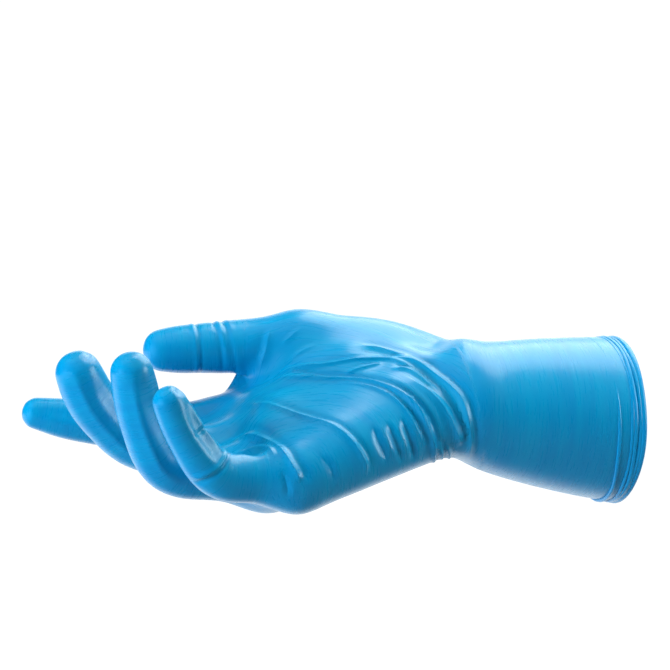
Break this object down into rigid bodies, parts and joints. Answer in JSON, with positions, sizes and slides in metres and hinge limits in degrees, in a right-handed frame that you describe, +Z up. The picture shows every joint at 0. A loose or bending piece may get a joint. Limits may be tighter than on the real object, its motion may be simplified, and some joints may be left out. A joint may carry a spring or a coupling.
{
  "type": "disposable nitrile examination glove, filled out as when worn",
  "caption": "Thin blue disposable examination glove for the right side, filled out as when worn: palm up, curled fingers, thumb above, and a long flared cuff with a rolled rim.",
  "frame": {"origin": "centre of the cuff's mouth, in the plane where its rolled rim ends", "axes": "+X out of the mouth, +Z up, so the palm faces up and 17 degrees towards -Y, and the thumb is on the +Y side"},
  "size_m": [0.2305, 0.095, 0.0766],
  "materials": {
    "nitrile": "smooth blue nitrile film, satin gloss, with fine stretch wrinkles"
  },
  "bodies": {
    "root": {"glove": "nitrile"}
  },
  "joints": []
}
